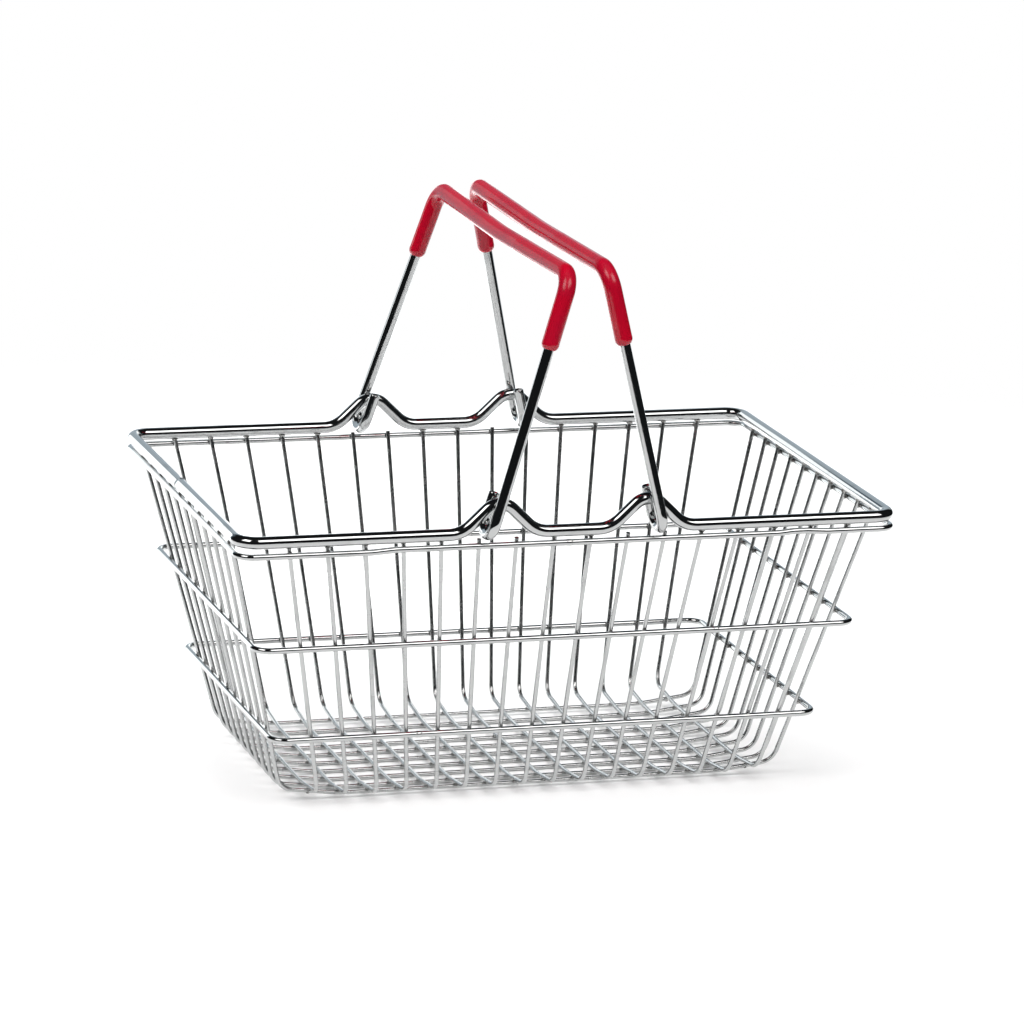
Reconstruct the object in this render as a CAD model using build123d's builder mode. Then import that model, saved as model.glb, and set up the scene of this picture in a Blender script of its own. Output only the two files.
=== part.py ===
from build123d import *
import os
from math import cos, radians, sin, sqrt, tan

os.makedirs("parts", exist_ok=True)

# Wire hand basket with two swing handles.
# +X runs along the basket, +Z is up, the basket stands on Z = 0 and is centred on X and Y.
# Heights and widths are those of wire centrelines unless a comment says otherwise.

# Wire diameters
rim_wire = 8.0
ring_wire = 4.0
mesh_wire = 2.8
handle_wire = 7.0
sleeve_diameter = 11.2

# Rim
rim_length = 430.0
rim_width = 283.0
rim_height = 188.5
rim_corner = 12.0

# Raised bumps of the rim, two on each long side, that the handle hooks hang on
bump_place = 49.0            # from the middle of the basket to each crest
bump_half_base = 24.5
bump_angle = 43.5            # slope of each flank, in degrees
bump_crest_radius = 12.5
bump_foot_radius = 20.0

# Walls
end_wall_angle = 14.8        # lean of the short walls from upright, in degrees
side_wall_angle = 13.7       # lean of the long walls from upright, in degrees

# Rings around the outside of the walls
rim_ring_gap = 1.6           # clear gap between the rim and the upper ring
middle_ring_height = 114.5
lower_ring_height = 50.5
ring_corner = 10.0

# Mesh of bent wires, closer together at the floor than at the rim
cross_wire_count = 16
cross_top_pitch = 24.6
cross_floor_pitch = 19.8
long_wire_count = 10
long_top_pitch = 24.4
long_floor_pitch = 17.1
mesh_bend = 12.0

# Shallow dish of the floor: flat in the middle, rising towards the walls
flat_half_length = 128.0
end_rise = 5.0
flat_half_width = 62.0
side_rise = 4.5
dish_radius = 150.0

# Welds: how far one wire sinks into the next
weld_sink = 0.15

# Handles
hinge_place = 57.0           # from the middle of the basket to each hinge axis
hinge_drop = 0.6             # hinge axis below the rim's centreline
hook_half_width = 10.5       # from the rim's centreline to a hook's leg and to its tip
hook_bend = 9.6
hook_tip_rise = 25.5
leg_height = 170.0           # from the hinge axis to the grip's centreline
grip_half_length = 137.5
grip_bend = 14.0
grip_sag = 2.5
grip_sag_radius = 400.0
sleeve_leg = 48.0            # how far the sleeve reaches down each leg from the grip
sleeve_end_round = 1.6
left_lean = 16.9             # lean towards the middle of the basket, in degrees
right_lean = 13.6


def wall_half_length(height):
    return rim_length / 2 - (rim_height - height) * tan(radians(end_wall_angle))


def wall_half_width(height):
    return rim_width / 2 - (rim_height - height) * tan(radians(side_wall_angle))


def dish_rise(place, flat_half, slope):
    """Height of the dished floor above its flat middle, on one axis."""
    tangent = dish_radius * tan(slope / 2)
    run = abs(place) - (flat_half - tangent)
    if run <= 0:
        return 0.0
    if run <= dish_radius * sin(slope):
        return dish_radius - sqrt(dish_radius**2 - run**2)
    return (abs(place) - flat_half) * tan(slope)


def spread(count, pitch):
    """Places of a row of wires, centred on zero."""
    return [(index - (count - 1) / 2) * pitch for index in range(count)]


def swept_wire(points, radii, diameter):
    """A round wire along straight runs joined by tangent bends."""
    with BuildPart() as wire:
        with BuildLine() as path:
            FilletPolyline(*points, radius=radii)
        with BuildSketch(Plane(origin=path.line @ 0, z_dir=path.line % 0)):
            Circle(diameter / 2)
        sweep(path=path.line)
    return wire.part


def save(part, name):
    part.label = name
    export_step(part, f"parts/{name}.step")


# Rim: one half, from the middle of one short side to the middle of the other, and its mirror image
bump_peak = rim_height + bump_half_base * tan(radians(bump_angle))
rim_points = [(-rim_length / 2, 0, rim_height), (-rim_length / 2, -rim_width / 2, rim_height)]
rim_radii = [rim_corner]
for crest in (-bump_place, bump_place):
    rim_points.append((crest - bump_half_base, -rim_width / 2, rim_height))
    rim_points.append((crest, -rim_width / 2, bump_peak))
    rim_points.append((crest + bump_half_base, -rim_width / 2, rim_height))
    rim_radii += [bump_foot_radius, bump_crest_radius, bump_foot_radius]
rim_points += [(rim_length / 2, -rim_width / 2, rim_height), (rim_length / 2, 0, rim_height)]
rim_radii.append(rim_corner)

with BuildPart() as rim:
    with BuildLine() as rim_path:
        FilletPolyline(*rim_points, radius=rim_radii)
    with BuildSketch(Plane(origin=rim_path.line @ 0, z_dir=rim_path.line % 0)):
        Circle(rim_wire / 2)
    sweep(path=rim_path.line)
    mirror(about=Plane.XZ)
save(rim.part, "rim_wire")

# Rings: plain rounded rectangles welded to the outside of the mesh
upper_ring_height = rim_height - rim_wire / 2 - rim_ring_gap - ring_wire / 2
ring_offset = ring_wire / 2 + mesh_wire / 2 - weld_sink
ring_heights = {
    "upper_ring": upper_ring_height,
    "middle_ring": middle_ring_height,
    "lower_ring": lower_ring_height,
}
for ring_name, height in ring_heights.items():
    ring_x = wall_half_length(height) + ring_offset / cos(radians(end_wall_angle))
    ring_y = wall_half_width(height) + ring_offset / cos(radians(side_wall_angle))
    with BuildPart() as ring:
        with BuildLine() as ring_path:
            FilletPolyline(
                (-ring_x, 0, height),
                (-ring_x, -ring_y, height),
                (ring_x, -ring_y, height),
                (ring_x, 0, height),
                radius=ring_corner,
            )
        with BuildSketch(Plane(origin=ring_path.line @ 0, z_dir=ring_path.line % 0)):
            Circle(ring_wire / 2)
        sweep(path=ring_path.line)
        mirror(about=Plane.XZ)
    save(ring.part, ring_name)

# Mesh: long wires underneath, cross wires lying on them, both with their tips under the rim
long_floor_height = mesh_wire / 2
cross_floor_height = long_floor_height + mesh_wire - weld_sink
end_corner_height = long_floor_height + end_rise
side_corner_height = cross_floor_height + side_rise
end_slope = end_rise / (wall_half_length(end_corner_height) - flat_half_length)
side_slope = side_rise / (wall_half_width(side_corner_height) - flat_half_width)
tip_drop = rim_wire / 2 - weld_sink
end_tip_height = rim_height - tip_drop * cos(radians(end_wall_angle))
side_tip_height = rim_height - tip_drop * cos(radians(side_wall_angle))
mesh_radii = [mesh_bend, dish_radius, dish_radius, mesh_bend]

cross_places = zip(spread(cross_wire_count, cross_top_pitch), spread(cross_wire_count, cross_floor_pitch))
for number, (top_x, floor_x) in enumerate(cross_places, start=1):
    lift = dish_rise(floor_x, flat_half_length, end_slope)
    corner_height = side_corner_height + lift
    corner_y = wall_half_width(corner_height)
    tip_y = wall_half_width(side_tip_height)
    cross_points = [
        (top_x, -tip_y, side_tip_height),
        (floor_x, -corner_y, corner_height),
        (floor_x, -flat_half_width, cross_floor_height + lift),
        (floor_x, flat_half_width, cross_floor_height + lift),
        (floor_x, corner_y, corner_height),
        (top_x, tip_y, side_tip_height),
    ]
    cross_part = swept_wire(cross_points, mesh_radii, mesh_wire)
    save(cross_part, f"cross_wire_{number:02d}")

long_places = zip(spread(long_wire_count, long_top_pitch), spread(long_wire_count, long_floor_pitch))
for number, (top_y, floor_y) in enumerate(long_places, start=1):
    lift = dish_rise(floor_y, flat_half_width, side_slope)
    corner_height = end_corner_height + lift
    corner_x = wall_half_length(corner_height)
    tip_x = wall_half_length(end_tip_height)
    long_points = [
        (-tip_x, top_y, end_tip_height),
        (-corner_x, floor_y, corner_height),
        (-flat_half_length, floor_y, long_floor_height + lift),
        (flat_half_length, floor_y, long_floor_height + lift),
        (corner_x, floor_y, corner_height),
        (tip_x, top_y, end_tip_height),
    ]
    long_part = swept_wire(long_points, mesh_radii, mesh_wire)
    save(long_part, f"long_wire_{number:02d}")

# Handles: each a bent wire with a J-shaped hook round the rim at both ends, and a dipped sleeve
hook_inner = rim_width / 2 - hook_half_width
hook_outer = rim_width / 2 + hook_half_width
leg_length = sqrt(leg_height**2 + (hook_outer - grip_half_length) ** 2)
sleeve_share = sleeve_leg / leg_length
sleeve_y = grip_half_length + (hook_outer - grip_half_length) * sleeve_share
sleeve_foot = leg_height * (1 - sleeve_share)
grip_middle = leg_height - grip_sag


def handle(name, side, lean):
    """One handle in its own plane, whose X is the hinge axis and whose Y runs up the legs."""
    upright = Plane(
        origin=(side * hinge_place, 0, rim_height - hinge_drop),
        x_dir=(0, 1, 0),
        z_dir=(cos(radians(lean)), 0, side * sin(radians(lean))),
    )
    with BuildPart() as wire:
        with BuildLine(upright) as wire_path:
            FilletPolyline(
                (-hook_inner, hook_tip_rise),
                (-hook_inner, 0),
                (-hook_outer, 0),
                (-grip_half_length, leg_height),
                (0, grip_middle),
                (grip_half_length, leg_height),
                (hook_outer, 0),
                (hook_inner, 0),
                (hook_inner, hook_tip_rise),
                radius=[hook_bend, hook_bend, grip_bend, grip_sag_radius, grip_bend, hook_bend, hook_bend],
            )
        with BuildSketch(Plane(origin=wire_path.line @ 0, z_dir=wire_path.line % 0)):
            Circle(handle_wire / 2)
        sweep(path=wire_path.line)
    save(wire.part, f"{name}_handle_wire")

    with BuildPart() as sleeve:
        with BuildLine(upright) as sleeve_path:
            FilletPolyline(
                (-sleeve_y, sleeve_foot),
                (-grip_half_length, leg_height),
                (0, grip_middle),
                (grip_half_length, leg_height),
                (sleeve_y, sleeve_foot),
                radius=[grip_bend, grip_sag_radius, grip_bend],
            )
        with BuildSketch(Plane(origin=sleeve_path.line @ 0, z_dir=sleeve_path.line % 0)):
            Circle(sleeve_diameter / 2)
            Circle(handle_wire / 2, mode=Mode.SUBTRACT)
        sweep(path=sleeve_path.line)
        feet = [face.outer_wire().edge() for face in sleeve.faces().filter_by(GeomType.PLANE)]
        fillet(feet, radius=sleeve_end_round)
    save(sleeve.part, f"{name}_grip_sleeve")


handle("left", -1, left_lean)
handle("right", 1, right_lean)
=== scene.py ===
import math
import random

import bpy
import bmesh
from mathutils import Matrix, Vector


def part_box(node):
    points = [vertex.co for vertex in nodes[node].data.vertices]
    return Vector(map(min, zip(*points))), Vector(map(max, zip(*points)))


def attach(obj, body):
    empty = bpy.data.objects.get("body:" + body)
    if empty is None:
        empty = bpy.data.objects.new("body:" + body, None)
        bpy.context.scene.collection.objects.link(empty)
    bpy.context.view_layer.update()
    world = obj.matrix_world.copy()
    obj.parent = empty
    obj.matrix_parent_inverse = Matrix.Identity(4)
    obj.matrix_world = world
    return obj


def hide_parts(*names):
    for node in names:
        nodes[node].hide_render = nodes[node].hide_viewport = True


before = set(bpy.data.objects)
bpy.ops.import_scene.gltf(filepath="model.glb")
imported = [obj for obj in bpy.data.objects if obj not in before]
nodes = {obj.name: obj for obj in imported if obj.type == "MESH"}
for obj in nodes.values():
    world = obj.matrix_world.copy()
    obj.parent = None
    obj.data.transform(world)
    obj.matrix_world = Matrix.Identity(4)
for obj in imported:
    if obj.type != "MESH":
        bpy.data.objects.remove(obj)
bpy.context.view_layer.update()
scene = bpy.context.scene
print("frame loaded:", len(nodes), "nodes")


studio = {
    "cameraAzimuth": -18.54,
    "cameraElevation": 14.51,
    "cameraRoll": 2.41,
    "cameraDistance": 3.4806,
    "slideRight": 0.0051,
    "slideUp": -0.0244,
    "aimRise": 0.0076,         # from the upper ring to the middle of the rim
    "focalLength": 188.2,
    "floorRadius": 1.15,
    "floorFade": 0.25,
    "floorTone": 0.9,
    "floorSides": 96,
    "sunStrength": 2.25,
    "sunSoftness": 70.0,
    "sunTilt": (12.0, -8.0, 0.0),
}


def placeCamera():
    azimuth = math.radians(studio["cameraAzimuth"])
    elevation = math.radians(studio["cameraElevation"])
    roll = math.radians(studio["cameraRoll"])
    back = Vector(
        (
            math.sin(azimuth) * math.cos(elevation),
            -math.cos(azimuth) * math.cos(elevation),
            math.sin(elevation),
        )
    )
    right = Vector((0, 0, 1)).cross(back).normalized()
    up = back.cross(right)
    right, up = (
        right * math.cos(roll) + up * math.sin(roll),
        up * math.cos(roll) - right * math.sin(roll),
    )
    rimLow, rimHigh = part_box("upper_ring")
    target = Vector((0, 0, (rimLow.z + rimHigh.z) / 2 + studio["aimRise"]))
    camera = bpy.data.cameras.new("camera")
    camera.lens = studio["focalLength"]
    holder = bpy.data.objects.new("camera", camera)
    scene.collection.objects.link(holder)
    holder.rotation_mode = "QUATERNION"
    holder.location = (
        target
        + back * studio["cameraDistance"]
        + right * studio["slideRight"]
        + up * studio["slideUp"]
    )
    turn = Matrix((right, up, back)).transposed()
    holder.rotation_quaternion = turn.to_quaternion()
    scene.camera = holder


def link(tree, source, target):
    tree.links.new(source, target)


def mathNode(tree, operation, first, second=None):
    node = tree.nodes.new("ShaderNodeMath")
    node.operation = operation
    for socket, value in zip(node.inputs, (first, second)):
        if value is None:
            continue
        if isinstance(value, (int, float)):
            socket.default_value = value
        else:
            link(tree, value, socket)
    return node.outputs[0]


def ramp(tree, value, low, high, fromLevel=0.0, toLevel=1.0):
    node = tree.nodes.new("ShaderNodeMapRange")
    node.interpolation_type = "SMOOTHSTEP"
    link(tree, value, node.inputs["Value"])
    for name, number in (
        ("From Min", low),
        ("From Max", high),
        ("To Min", fromLevel),
        ("To Max", toLevel),
    ):
        node.inputs[name].default_value = number
    return node.outputs["Result"]


def window(tree, value, low, high, edge):
    # one between low and high, nought outside, with soft edges
    rise = ramp(tree, value, low - edge, low + edge)
    fall = ramp(tree, value, high - edge, high + edge, 1.0, 0.0)
    return mathNode(tree, "MULTIPLY", rise, fall)


def blendTones(tree, amount, first, second):
    node = tree.nodes.new("ShaderNodeMix")
    node.data_type = "RGBA"
    link(tree, amount, node.inputs["Factor"])
    for socket, tone in ((node.inputs[6], first), (node.inputs[7], second)):
        if isinstance(tone, tuple):
            socket.default_value = (*tone, 1.0)
        else:
            link(tree, tone, socket)
    return node.outputs[2]


room = {
    "darkTone": (0.012, 0.013, 0.014),
    "farTone": (0.15, 0.19, 0.23),  # the dim wall behind the basket
    "farSides": (140.0, 156.0),     # degrees round from the front where it fades in
    "farTop": (26.0, 38.0),         # degrees above the horizon where it fades out
    "lampTone": (1.0, 0.975, 0.965),
    "lampStrength": 3.6,
    "rightLamp": (4.0, 54.0, 3.0),  # its two sides and its soft edge, in degrees
    "leftLamp": (-86.0, -42.0, 3.0),
    "lampHeights": (34.0, 60.0, 2.5),
}


def lightRoom():
    world = bpy.data.worlds.new("studio")
    scene.world = world
    world.use_nodes = True
    tree = world.node_tree
    tree.nodes.clear()
    place = tree.nodes.new("ShaderNodeTexCoord")
    split = tree.nodes.new("ShaderNodeSeparateXYZ")
    link(tree, place.outputs["Generated"], split.inputs[0])
    x, y, z = split.outputs
    height = mathNode(tree, "MULTIPLY", mathNode(tree, "ARCSINE", z), math.degrees(1))
    front = mathNode(tree, "MULTIPLY", y, -1.0)
    around = mathNode(tree, "ARCTAN2", x, front)
    around = mathNode(tree, "MULTIPLY", around, math.degrees(1))
    away = mathNode(tree, "ABSOLUTE", around)

    lamps = mathNode(
        tree,
        "ADD",
        window(tree, around, *room["rightLamp"]),
        window(tree, around, *room["leftLamp"]),
    )
    lamps = mathNode(tree, "MULTIPLY", lamps, window(tree, height, *room["lampHeights"]))

    behind = ramp(tree, away, *room["farSides"])
    low = ramp(tree, height, *room["farTop"], 1.0, 0.0)
    backdrop = mathNode(tree, "MULTIPLY", behind, low)

    walls = blendTones(tree, backdrop, room["darkTone"], room["farTone"])
    bright = tuple(tone * room["lampStrength"] for tone in room["lampTone"])
    lit = blendTones(tree, lamps, walls, bright)

    seen = tree.nodes.new("ShaderNodeLightPath")
    shade = tree.nodes.new("ShaderNodeBackground")
    link(tree, lit, shade.inputs["Color"])
    plain = tree.nodes.new("ShaderNodeBackground")
    plain.inputs["Color"].default_value = (1.0, 1.0, 1.0, 1.0)
    plain.inputs["Strength"].default_value = 1.0
    mixed = tree.nodes.new("ShaderNodeMixShader")
    link(tree, seen.outputs["Is Camera Ray"], mixed.inputs[0])
    link(tree, shade.outputs[0], mixed.inputs[1])
    link(tree, plain.outputs[0], mixed.inputs[2])
    out = tree.nodes.new("ShaderNodeOutputWorld")
    link(tree, mixed.outputs[0], out.inputs["Surface"])

    sun = bpy.data.lights.new("overhead", "SUN")
    sun.energy = studio["sunStrength"]
    sun.angle = math.radians(studio["sunSoftness"])
    holder = bpy.data.objects.new("overhead", sun)
    scene.collection.objects.link(holder)
    holder.rotation_euler = [math.radians(angle) for angle in studio["sunTilt"]]
    holder.visible_glossy = False


def layFloor():
    shape = bmesh.new()
    outer = studio["floorRadius"]
    bmesh.ops.create_circle(shape, cap_ends=True, radius=outer, segments=studio["floorSides"])
    mesh = bpy.data.meshes.new("floor")
    shape.to_mesh(mesh)
    shape.free()
    floor = bpy.data.objects.new("floor", mesh)
    scene.collection.objects.link(floor)
    paint = bpy.data.materials.new("floorPaper")
    paint.use_nodes = True
    tree = paint.node_tree
    tree.nodes.clear()
    place = tree.nodes.new("ShaderNodeTexCoord")
    reach = tree.nodes.new("ShaderNodeVectorMath")
    reach.operation = "LENGTH"
    link(tree, place.outputs["Object"], reach.inputs[0])
    solid = ramp(tree, reach.outputs["Value"], outer - studio["floorFade"], outer, 1.0, 0.0)
    matte = tree.nodes.new("ShaderNodeBsdfDiffuse")
    tone = studio["floorTone"]
    matte.inputs["Color"].default_value = (tone, tone, tone, 1)
    clear = tree.nodes.new("ShaderNodeBsdfTransparent")
    mixed = tree.nodes.new("ShaderNodeMixShader")
    link(tree, solid, mixed.inputs[0])
    link(tree, clear.outputs[0], mixed.inputs[1])
    link(tree, matte.outputs[0], mixed.inputs[2])
    out = tree.nodes.new("ShaderNodeOutputMaterial")
    link(tree, mixed.outputs[0], out.inputs["Surface"])
    mesh.materials.append(paint)


placeCamera()
lightRoom()
layFloor()
scene.view_settings.view_transform = "Standard"
print("studio ready")


cards = {
    # the middle, width and height, way it faces, tone, strength and whether the chrome mirrors it
    "backLight": ((0.0, 0.85, 0.7), (1.5, 0.7), (0, 0, 0), (1.0, 1.0, 1.0), 1.8, False),
    "whiteCardLeft": (
        (-0.385, 0.45, 0.1925), (0.19, 0.385), (-90, 0, 0), (0.98, 1.0, 1.0), 1.9, True,
    ),
    "blueCardLeft": (
        (-0.17, 0.45, 0.25), (0.24, 0.50), (-90, 0, 0), (0.85, 0.95, 1.0), 0.42, True,
    ),
    "whiteCardRight": (
        (0.05, 0.45, 0.1925), (0.20, 0.385), (-90, 0, 0), (0.98, 1.0, 1.0), 1.6, True,
    ),
    "blueCardRight": (
        (0.45, 0.45, 0.25), (0.60, 0.50), (-90, 0, 0), (0.85, 0.95, 1.0), 0.42, True,
    ),
}


def standCards():
    for name, (middle, size, turn, tone, strength, shows) in cards.items():
        lamp = bpy.data.lights.new(name, "AREA")
        lamp.shape = "RECTANGLE"
        lamp.size, lamp.size_y = size
        lamp.color = tone
        lamp.energy = strength * math.pi * size[0] * size[1]
        holder = bpy.data.objects.new(name, lamp)
        scene.collection.objects.link(holder)
        holder.location = middle
        holder.rotation_euler = [math.radians(angle) for angle in turn]
        holder.visible_glossy = shows
        holder.visible_camera = False


standCards()
print("cards stood:", len(cards))


plating = {
    "tone": (0.54, 0.55, 0.55),
    "stainTone": (0.43, 0.44, 0.44),
    "roughness": (0.05, 0.11),
    "meshRoughness": (0.20, 0.32),
    "stainScale": 38.0,
    "stainRange": (0.56, 0.78),
    "hazeScale": 76.0,
    "hazeRange": (0.35, 0.75),
    "rippleScale": 210.0,
    "rippleDetail": 1.5,
    "rippleDepth": 0.00003,
}

weldSkin = {
    "tone": (0.42, 0.42, 0.41),
    "burntTone": (0.14, 0.14, 0.13),
    "roughness": (0.12, 0.35),
    "patchScale": 400.0,
    "patchRange": (0.35, 0.65),
    "pitScale": 700.0,
    "pitDepth": 0.0002,
}

dip = {
    "tone": (0.56, 0.003, 0.022),
    "wornTone": (0.47, 0.004, 0.026),
    "roughness": (0.13, 0.24),
    "bend": 1.5,              # how strongly the dip bends light
    "cloudScale": 55.0,
    "cloudRange": (0.35, 0.75),
    "peelScale": 500.0,
    "peelDetail": 2.0,
    "peelDepth": 0.000014,
    "scuffScale": 130.0,
    "scuffDetail": 4.0,
    "scuffStretch": (1.0, 0.18, 1.0),
    "scuffShare": 1.6,
}


def noise(tree, place, scale, detail=3.0, stretch=None):
    node = tree.nodes.new("ShaderNodeTexNoise")
    node.inputs["Scale"].default_value = scale
    node.inputs["Detail"].default_value = detail
    if stretch:
        turn = tree.nodes.new("ShaderNodeMapping")
        turn.inputs["Scale"].default_value = stretch
        link(tree, place, turn.inputs["Vector"])
        place = turn.outputs[0]
    link(tree, place, node.inputs["Vector"])
    return node.outputs["Fac"]


def newPaint(name):
    paint = bpy.data.materials.new(name)
    paint.use_nodes = True
    tree = paint.node_tree
    place = tree.nodes.new("ShaderNodeTexCoord").outputs["Object"]
    return paint, tree, place, tree.nodes["Principled BSDF"]


def addBump(tree, shader, height, depth):
    node = tree.nodes.new("ShaderNodeBump")
    node.inputs["Strength"].default_value = 1.0
    node.inputs["Distance"].default_value = depth
    link(tree, height, node.inputs["Height"])
    link(tree, node.outputs[0], shader.inputs["Normal"])


def brightPlating(name, roughness):
    paint, tree, place, shader = newPaint(name)
    shader.inputs["Metallic"].default_value = 1.0
    stain = ramp(tree, noise(tree, place, plating["stainScale"]), *plating["stainRange"])
    tone = blendTones(tree, stain, plating["tone"], plating["stainTone"])
    link(tree, tone, shader.inputs["Base Color"])
    haze = noise(tree, place, plating["hazeScale"])
    haze = ramp(tree, haze, *plating["hazeRange"], *roughness)
    link(tree, haze, shader.inputs["Roughness"])
    ripple = noise(tree, place, plating["rippleScale"], plating["rippleDetail"])
    addBump(tree, shader, ripple, plating["rippleDepth"])
    return paint


def weldPlating():
    # the plating over the spot welds is duller and uneven
    paint, tree, place, shader = newPaint("weldPlating")
    shader.inputs["Metallic"].default_value = 1.0
    patch = ramp(tree, noise(tree, place, weldSkin["patchScale"]), *weldSkin["patchRange"])
    tone = blendTones(tree, patch, weldSkin["tone"], weldSkin["burntTone"])
    link(tree, tone, shader.inputs["Base Color"])
    link(tree, ramp(tree, patch, 0.0, 1.0, *weldSkin["roughness"]), shader.inputs["Roughness"])
    addBump(tree, shader, noise(tree, place, weldSkin["pitScale"]), weldSkin["pitDepth"])
    return paint


def dippedRed():
    paint, tree, place, shader = newPaint("dippedRed")
    cloud = ramp(tree, noise(tree, place, dip["cloudScale"]), *dip["cloudRange"])
    tone = blendTones(tree, cloud, dip["tone"], dip["wornTone"])
    link(tree, tone, shader.inputs["Base Color"])
    link(tree, ramp(tree, cloud, 0.0, 1.0, *dip["roughness"]), shader.inputs["Roughness"])
    shader.inputs["IOR"].default_value = dip["bend"]
    peel = noise(tree, place, dip["peelScale"], dip["peelDetail"])
    scuffs = noise(tree, place, dip["scuffScale"], dip["scuffDetail"], dip["scuffStretch"])
    scuffs = mathNode(tree, "MULTIPLY", scuffs, dip["scuffShare"])
    addBump(tree, shader, mathNode(tree, "ADD", peel, scuffs), dip["peelDepth"])
    return paint


brightPaint = brightPlating("brightPlating", plating["roughness"])
meshPaint = brightPlating("meshPlating", plating["meshRoughness"])
weldPaint = weldPlating()
redPaint = dippedRed()
print("finishes mixed")


def stretchRing(shape, ring, shift):
    grown = bmesh.ops.extrude_edge_only(shape, edges=ring)["geom"]
    verts = [item for item in grown if isinstance(item, bmesh.types.BMVert)]
    bmesh.ops.translate(shape, verts=verts, vec=shift)
    kept = set(verts)
    edges = [item for item in grown if isinstance(item, bmesh.types.BMEdge)]
    return [edge for edge in edges if kept.issuperset(edge.verts)]


def straightRun(shape, ring, shift, margin):
    # short steps at both ends keep the long middle evenly shaded
    ends = shift.normalized() * min(margin, shift.length / 4)
    for part in (ends, shift - ends * 2, ends):
        ring = stretchRing(shape, ring, part)
    return ring


def layWire(shape, corners, bends, gauge, sides=20, bendSteps=10):
    # a round wire along straight runs joined by tangent bends; returns its two open ends
    corners = [Vector(corner) for corner in corners]
    heading = (corners[1] - corners[0]).normalized()
    turn = heading.to_track_quat("Z", "Y").to_matrix().to_4x4()
    start = Matrix.Translation(corners[0]) @ turn
    made = bmesh.ops.create_circle(shape, radius=gauge / 2, segments=sides, matrix=start)
    ring = list({edge for vert in made["verts"] for edge in vert.link_edges})
    ends = [(ring, corners[0], -heading)]
    place = corners[0]
    for corner, following, radius in zip(corners[1:], corners[2:], bends):
        ahead = (following - corner).normalized()
        angle = heading.angle(ahead)
        inset = radius * math.tan(angle / 2)
        bendStart = corner - heading * inset
        ring = straightRun(shape, ring, bendStart - place, gauge / 4)
        axis = heading.cross(ahead).normalized()
        spun = bmesh.ops.spin(
            shape,
            geom=ring,
            cent=bendStart + axis.cross(heading) * radius,
            axis=axis,
            angle=angle,
            steps=max(2, round(bendSteps * angle / (math.pi / 2))),
            use_merge=False,
        )
        ring = [item for item in spun["geom_last"] if isinstance(item, bmesh.types.BMEdge)]
        place = corner + ahead * inset
        heading = ahead
    ring = straightRun(shape, ring, corners[-1] - place, gauge / 4)
    ends.append((ring, corners[-1], heading))
    return ends


def turnEnd(shape, end, profile):
    # carries an open end on through the given (distance, radius) steps
    ring, place, heading = end
    before = 0.0
    for distance, radius in profile:
        ring = stretchRing(shape, ring, heading * (distance - before))
        middle = place + heading * distance
        verts = list({vert for edge in ring for vert in edge.verts})
        size = (verts[0].co - middle).length
        space = Matrix.Translation(-middle)
        bmesh.ops.scale(shape, verts=verts, vec=[radius / size] * 3, space=space)
        before = distance
    return ring


def closeEnd(shape, ring):
    return bmesh.ops.edgeloop_fill(shape, edges=ring)["faces"]


def finishPiece(name, shape, paint, body, slot, *nodeNames):
    bmesh.ops.remove_doubles(shape, verts=shape.verts, dist=1e-6)
    bmesh.ops.recalc_face_normals(shape, faces=shape.faces)
    for face in shape.faces:
        face.smooth = True
    mesh = bpy.data.meshes.new(name)
    shape.to_mesh(mesh)
    shape.free()
    mesh.materials.append(paint)
    piece = bpy.data.objects.new(name, mesh)
    scene.collection.objects.link(piece)
    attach(piece, body)
    if nodeNames:
        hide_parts(*nodeNames)
    print(name, len(mesh.polygons), "faces")


rim = {
    "gauge": 0.008,
    "halfLength": 0.215,
    "halfWidth": 0.1415,
    "height": 0.1885,
    "corner": 0.012,
    "bumpPlace": 0.049,
    "bumpHalfBase": 0.0245,
    "bumpAngle": 43.5,
    "crestRadius": 0.0125,
    "footRadius": 0.020,
    "jointPlace": 0.007,      # where the two ends of the rim meet, on the left short side
    "jointStep": 0.0005,      # how far the ends miss each other
    "sides": 32,
    "bendSteps": 16,
}

bead = {
    "radius": 0.0042,
    "length": 0.0036,
    "inset": 0.0004,          # keeps it inside the basket's outer size
    "drop": 0.0002,
    "sides": 24,
    "core": 0.3,              # share of its half length that is full width
    "cuffs": (0.4, 0.7),      # shares of its half length where it narrows
    "narrow": (0.98, 0.99),   # of the bead's radius, then of the rim's
    "ragged": (-0.03, 0.035),
    "raggedEdge": 0.0003,
}


def bendRim():
    length, width, height = rim["halfLength"], rim["halfWidth"], rim["height"]
    crest = height + rim["bumpHalfBase"] * math.tan(math.radians(rim["bumpAngle"]))

    def longSide(y, direction):
        points = []
        for middle in (-rim["bumpPlace"] * direction, rim["bumpPlace"] * direction):
            points.append((middle - rim["bumpHalfBase"] * direction, y, height))
            points.append((middle, y, crest))
            points.append((middle + rim["bumpHalfBase"] * direction, y, height))
        return points

    joint = rim["jointPlace"]
    corners = [(-length, joint, height), (-length, -width, height)]
    corners += longSide(-width, 1)
    corners += [(length, -width, height), (length, width, height)]
    corners += longSide(width, -1)
    corners += [(-length, width, height), (-length, joint, height - rim["jointStep"])]
    bump = [rim["footRadius"], rim["crestRadius"], rim["footRadius"]]
    side = [rim["corner"]] + bump * 2 + [rim["corner"]]
    shape = bmesh.new()
    for end in layWire(shape, corners, side + side, rim["gauge"], rim["sides"], rim["bendSteps"]):
        closeEnd(shape, end[0])
    finishPiece("rimLoop", shape, brightPaint, "basket", "bright_wire", "rim_wire")


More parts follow.
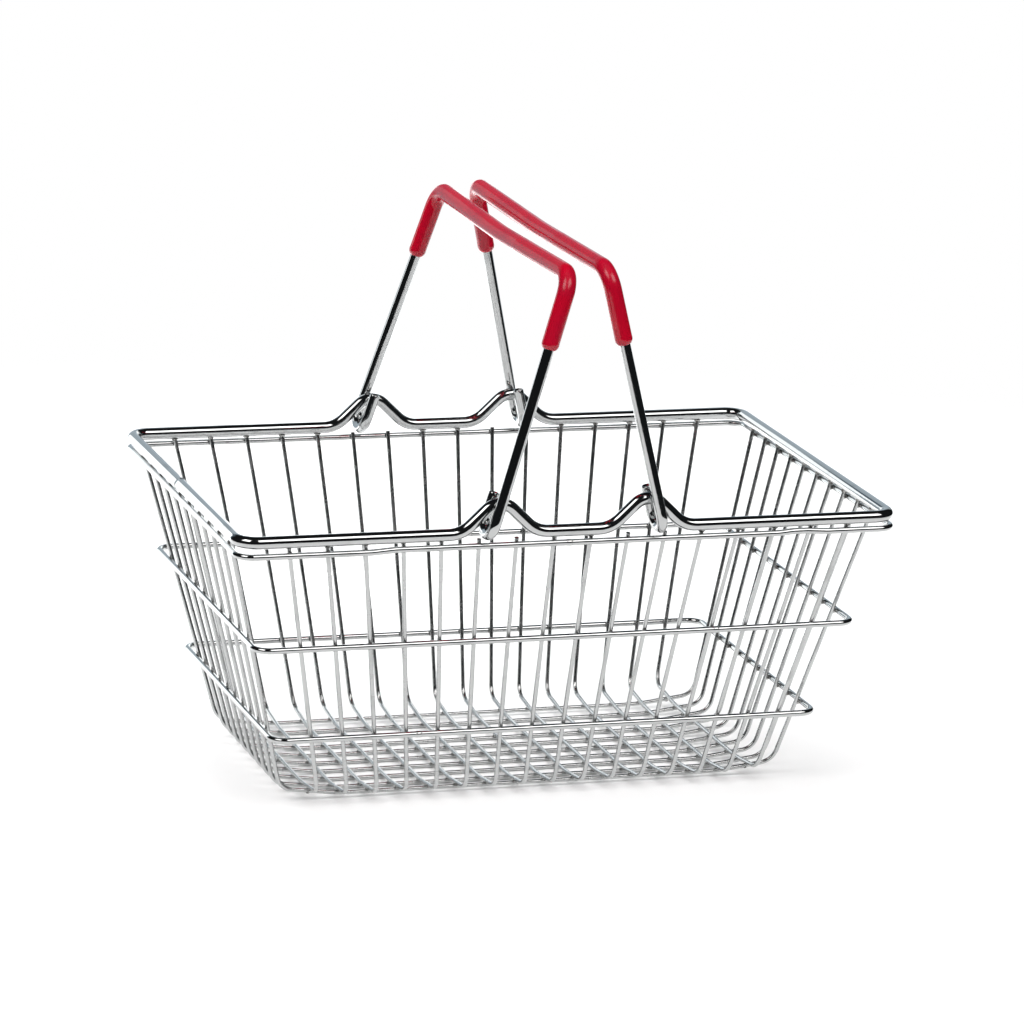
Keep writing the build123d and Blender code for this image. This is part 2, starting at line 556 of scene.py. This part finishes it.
def beadRim():
    # the weld bead over the rim's joint
    shape = bmesh.new()
    half, radius = bead["length"] / 2, bead["radius"]
    middle = Vector(
        (bead["inset"] - rim["halfLength"], rim["jointPlace"], rim["height"] - bead["drop"])
    )
    core = Vector((0, half, 0)) * bead["core"]
    first, second = bead["cuffs"]
    wide, narrow = bead["narrow"]
    profile = ((half * first, radius * wide), (half * second, rim["gauge"] / 2 * narrow))
    for end in layWire(shape, (middle - core, middle + core), (), radius * 2, bead["sides"]):
        closeEnd(shape, turnEnd(shape, end, profile))
    dice = random.Random(3)
    for vert in shape.verts:
        away = vert.co - middle
        away.y = 0
        vert.co += away * dice.uniform(*bead["ragged"])
        vert.co.y += dice.uniform(-bead["raggedEdge"], bead["raggedEdge"])
    finishPiece("rimBead", shape, weldPaint, "basket", "bright_wire")


bendRim()
beadRim()


rings = {
    "gauge": 0.004,
    "corner": 0.010,
    "stepPlace": (-0.132, -0.117),
    "stepDrop": 0.0011,
    "stepBend": 0.040,
    "kinkPlace": (0.137, 0.147, 0.156, 0.170),
    "kinkRise": 0.0009,
    "kinkBend": 0.030,
    "sides": 20,
    "bendSteps": 12,
    "jointPlace": {"upper_ring": -0.003, "middle_ring": 0.104, "lower_ring": -0.087},
    "jointGauge": 0.0044,     # the upset metal where a ring's two ends are welded
    "jointReach": 0.0006,
    "jointCuff": ((0.0008, 0.00216), (0.0014, 0.00196)),
}


def bendRing(nodeName):
    low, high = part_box(nodeName)
    half = rings["gauge"] / 2
    length, width, height = high.x - half, high.y - half, (low.z + high.z) / 2
    joint = rings["jointPlace"][nodeName]
    corners = [(joint, -width, height)]
    bends = []
    if nodeName == "upper_ring":
        # a slight kink in the front run, to the right
        rise = rings["kinkRise"]
        for place, lift in zip(rings["kinkPlace"], (0, rise, rise, 0)):
            corners.append((place, -width, height + lift))
            bends.append(rings["kinkBend"])
    corners += [(length, -width, height), (length, width, height)]
    corners += [(-length, width, height), (-length, -width, height)]
    bends += [rings["corner"]] * 4
    if nodeName == "upper_ring":
        # the front run sits a little lower before a slight step
        start, finish = rings["stepPlace"]
        lower = height - rings["stepDrop"]
        corners[-1] = (-length, -width, lower)
        corners += [(start, -width, lower), (finish, -width, height)]
        bends += [rings["stepBend"]] * 2
    corners.append((joint, -width, height))
    shape = bmesh.new()
    sides = rings["sides"]
    for end in layWire(shape, corners, bends, rings["gauge"], sides, rings["bendSteps"]):
        closeEnd(shape, end[0])
    reach = rings["jointReach"]
    run = ((joint - reach, -width, height), (joint + reach, -width, height))
    for end in layWire(shape, run, (), rings["jointGauge"], sides):
        closeEnd(shape, turnEnd(shape, end, rings["jointCuff"]))
    words = nodeName.split("_")
    finishPiece(words[0] + words[1].title(), shape, brightPaint, "basket", "bright_wire", nodeName)


for nodeName in rings["jointPlace"]:
    bendRing(nodeName)


welds = {
    "meshGauge": 0.0028,
    "size": 0.00175,          # half the width of one weld
    "tipSize": 0.0022,
    "floorSize": 0.0016,
    "sideCorner": 0.0086,     # height where a cross wire turns up into its wall
    "endCorner": 0.0064,
    "bumps": (0.022, 0.076),  # no tip reaches the rim under its bumps
    "sink": 0.0002,
    "ringDrop": 0.0004,
    "along": (0.85, 1.25),    # how unlike each other the welds are
    "across": (0.85, 1.2),
    "rise": (0.7, 1.0),
    "sides": 7,
    "layers": 5,
}


def dropWeld(shape, place, size, dice):
    stretch = Vector([dice.uniform(*welds[way]) for way in ("along", "across", "rise")])
    turn = Matrix.Rotation(dice.uniform(0, math.pi), 4, "Z")
    space = Matrix.Translation(place) @ turn @ Matrix.Diagonal((*(stretch * size), 1.0))
    bmesh.ops.create_uvsphere(
        shape, u_segments=welds["sides"], v_segments=welds["layers"], radius=1.0, matrix=space
    )


def addPatch(shape, patch):
    # many small lots join faster than one that keeps growing
    mesh = bpy.data.meshes.new("patch")
    patch.to_mesh(mesh)
    patch.free()
    shape.from_mesh(mesh)
    bpy.data.meshes.remove(mesh)


def meshLine(nodeName, axis):
    # a wire's place on the floor, its place at the rim and the height of its tips
    low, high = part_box(nodeName)
    half = welds["meshGauge"] / 2
    near, far = low[axis] + half, high[axis] - half
    if near + far > 0:
        return near, far, high.z
    return far, near, high.z


def weldMesh():
    dice = random.Random(11)
    shape = bmesh.new()
    half = welds["meshGauge"] / 2
    crossNames = sorted(name for name in nodes if name.startswith("cross_wire"))
    longNames = sorted(name for name in nodes if name.startswith("long_wire"))
    bumpStart, bumpFinish = welds["bumps"]
    walls = ((crossNames, 0, welds["sideCorner"]), (longNames, 1, welds["endCorner"]))
    for names, axis, corner in walls:
        for name in names:
            floorPlace, topPlace, tip = meshLine(name, axis)
            patch = bmesh.new()
            for nodeName in rings["jointPlace"]:
                low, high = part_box(nodeName)
                height = (low.z + high.z) / 2
                share = (height - corner) / (tip - corner)
                along = floorPlace + (topPlace - floorPlace) * share
                reach = high[1 - axis] - rings["gauge"] - welds["sink"]
                for side in (-1, 1):
                    place = Vector((0, 0, height - welds["ringDrop"]))
                    place[axis] = along
                    place[1 - axis] = side * reach
                    dropWeld(patch, place, welds["size"], dice)
            low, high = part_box(name)
            underBump = axis == 0 and bumpStart < abs(topPlace) < bumpFinish
            for side in () if underBump else (-1, 1):
                place = Vector((0, 0, tip - welds["sink"]))
                place[axis] = topPlace
                place[1 - axis] = side * (high[1 - axis] - half)
                dropWeld(patch, place, welds["tipSize"], dice)
            addPatch(shape, patch)
    for crossName in crossNames:
        patch = bmesh.new()
        for longName in longNames:
            place = Vector((meshLine(crossName, 0)[0], meshLine(longName, 1)[0], 0))
            crossLow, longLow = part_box(crossName)[0].z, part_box(longName)[0].z
            place.z = max(crossLow, longLow + welds["meshGauge"])
            dropWeld(patch, place, welds["floorSize"], dice)
        addPatch(shape, patch)
    finishPiece("meshWelds", shape, weldPaint, "basket", "bright_wire")


weldMesh()


handle = {
    "gauge": 0.007,
    "hingePlace": 0.057,
    "hingeHeight": 0.1879,
    "hookInner": 0.131,
    "hookOuter": 0.152,
    "hookBend": 0.0096,
    "tipRise": 0.0247,
    "legHeight": 0.170,
    "gripHalf": 0.1375,
    "gripBend": 0.014,
    "gripMiddle": 0.1675,
    "sagRadius": 0.400,
    "leftLean": 16.9,
    "rightLean": 13.6,
    "sides": 28,
    "bendSteps": 16,
    "cutEnd": ((0.0004, 0.00343), (0.0007, 0.00315), (0.0008, 0.0028)),
    "dishWidth": 0.0007,      # the shallow dish in each cut end
    "dishDepth": 0.0009,
}

sleeve = {
    "diameter": 0.0112,
    "legReach": 0.048,
    "cuff": (
        (0.0010, 0.00562),
        (0.0022, 0.00568),
        (0.0034, 0.0055),
        (0.0045, 0.0051),
        (0.0054, 0.0045),
        (0.0060, 0.0038),
    ),
    "sides": 32,
    "bendSteps": 18,
    "boreGap": 0.0001,
    "seamPlace": -0.040,
    "seamHalf": 0.0016,
    "seamRise": 1.012,
}


def bendHandle(name, side, lean):
    angle = math.radians(lean)
    hinge = Vector((side * handle["hingePlace"], 0, handle["hingeHeight"]))
    up = Vector((-side * math.sin(angle), 0, math.cos(angle)))

    def spot(y, rise):
        return hinge + Vector((0, y, 0)) + up * rise

    inner, outer = handle["hookInner"], handle["hookOuter"]
    grip, top = handle["gripHalf"], handle["legHeight"]
    tip = handle["tipRise"]
    corners = [
        spot(-inner, tip),
        spot(-inner, 0),
        spot(-outer, 0),
        spot(-grip, top),
        spot(0, handle["gripMiddle"]),
        spot(grip, top),
        spot(outer, 0),
        spot(inner, 0),
        spot(inner, tip),
    ]
    hook, corner = handle["hookBend"], handle["gripBend"]
    gripBends = (corner, handle["sagRadius"], corner)
    bends = (hook, hook, *gripBends, hook, hook)
    gauge, body = handle["gauge"], name + "_handle"
    shape = bmesh.new()
    for end in layWire(shape, corners, bends, gauge, handle["sides"], handle["bendSteps"]):
        cap = closeEnd(shape, turnEnd(shape, end, handle["cutEnd"]))
        width, depth = handle["dishWidth"], -handle["dishDepth"]
        bmesh.ops.inset_region(shape, faces=cap, thickness=width, depth=depth)
    finishPiece(name + "Wire", shape, brightPaint, body, "bright_wire", body + "_wire")

    legRun = Vector((0, outer - grip, -top))
    foot = legRun * (sleeve["legReach"] / legRun.length)
    cuffLength = sleeve["cuff"][-1][0]
    shortFoot = legRun * ((sleeve["legReach"] - cuffLength) / legRun.length)

    def route(legEnd):
        return [
            spot(-grip - legEnd.y, top + legEnd.z),
            spot(-grip, top),
            spot(0, handle["gripMiddle"]),
            spot(grip, top),
            spot(grip + legEnd.y, top + legEnd.z),
        ]

    skin = bmesh.new()
    detail = (sleeve["sides"], sleeve["bendSteps"])
    outerEnds = layWire(skin, route(shortFoot), gripBends, sleeve["diameter"], *detail)
    boreEnds = layWire(skin, route(foot), gripBends, gauge + sleeve["boreGap"], *detail)
    for outerEnd, boreEnd in zip(outerEnds, boreEnds):
        ring = turnEnd(skin, outerEnd, sleeve["cuff"])
        bmesh.ops.bridge_loops(skin, edges=ring + boreEnd[0])
    for shift in (-sleeve["seamHalf"], 0.0, sleeve["seamHalf"]):
        everything = skin.verts[:] + skin.edges[:] + skin.faces[:]
        cut = Vector((0, sleeve["seamPlace"] + shift, 0))
        bmesh.ops.bisect_plane(skin, geom=everything, plane_co=cut, plane_no=(0, 1, 0))
    sag = (top - handle["gripMiddle"]) * (1 - abs(sleeve["seamPlace"]) / grip)
    middle = spot(sleeve["seamPlace"], top - sag)
    # only the outer skin rises at the seam, not the bore
    seam = [vert for vert in skin.verts if abs(vert.co.y - middle.y) < 1e-5]
    seam = [vert for vert in seam if (vert.co - middle).length > gauge * 0.6]
    space = Matrix.Translation(-middle)
    bmesh.ops.scale(skin, verts=seam, vec=[sleeve["seamRise"]] * 3, space=space)
    finishPiece(name + "Sleeve", skin, redPaint, body, "grip_red", name + "_grip_sleeve")


bendHandle("left", -1, handle["leftLean"])
bendHandle("right", 1, handle["rightLean"])


for name, node in nodes.items():
    if name.startswith(("cross_wire", "long_wire")):
        node.data.materials.clear()
        node.data.materials.append(meshPaint)

print("mesh wires finished")
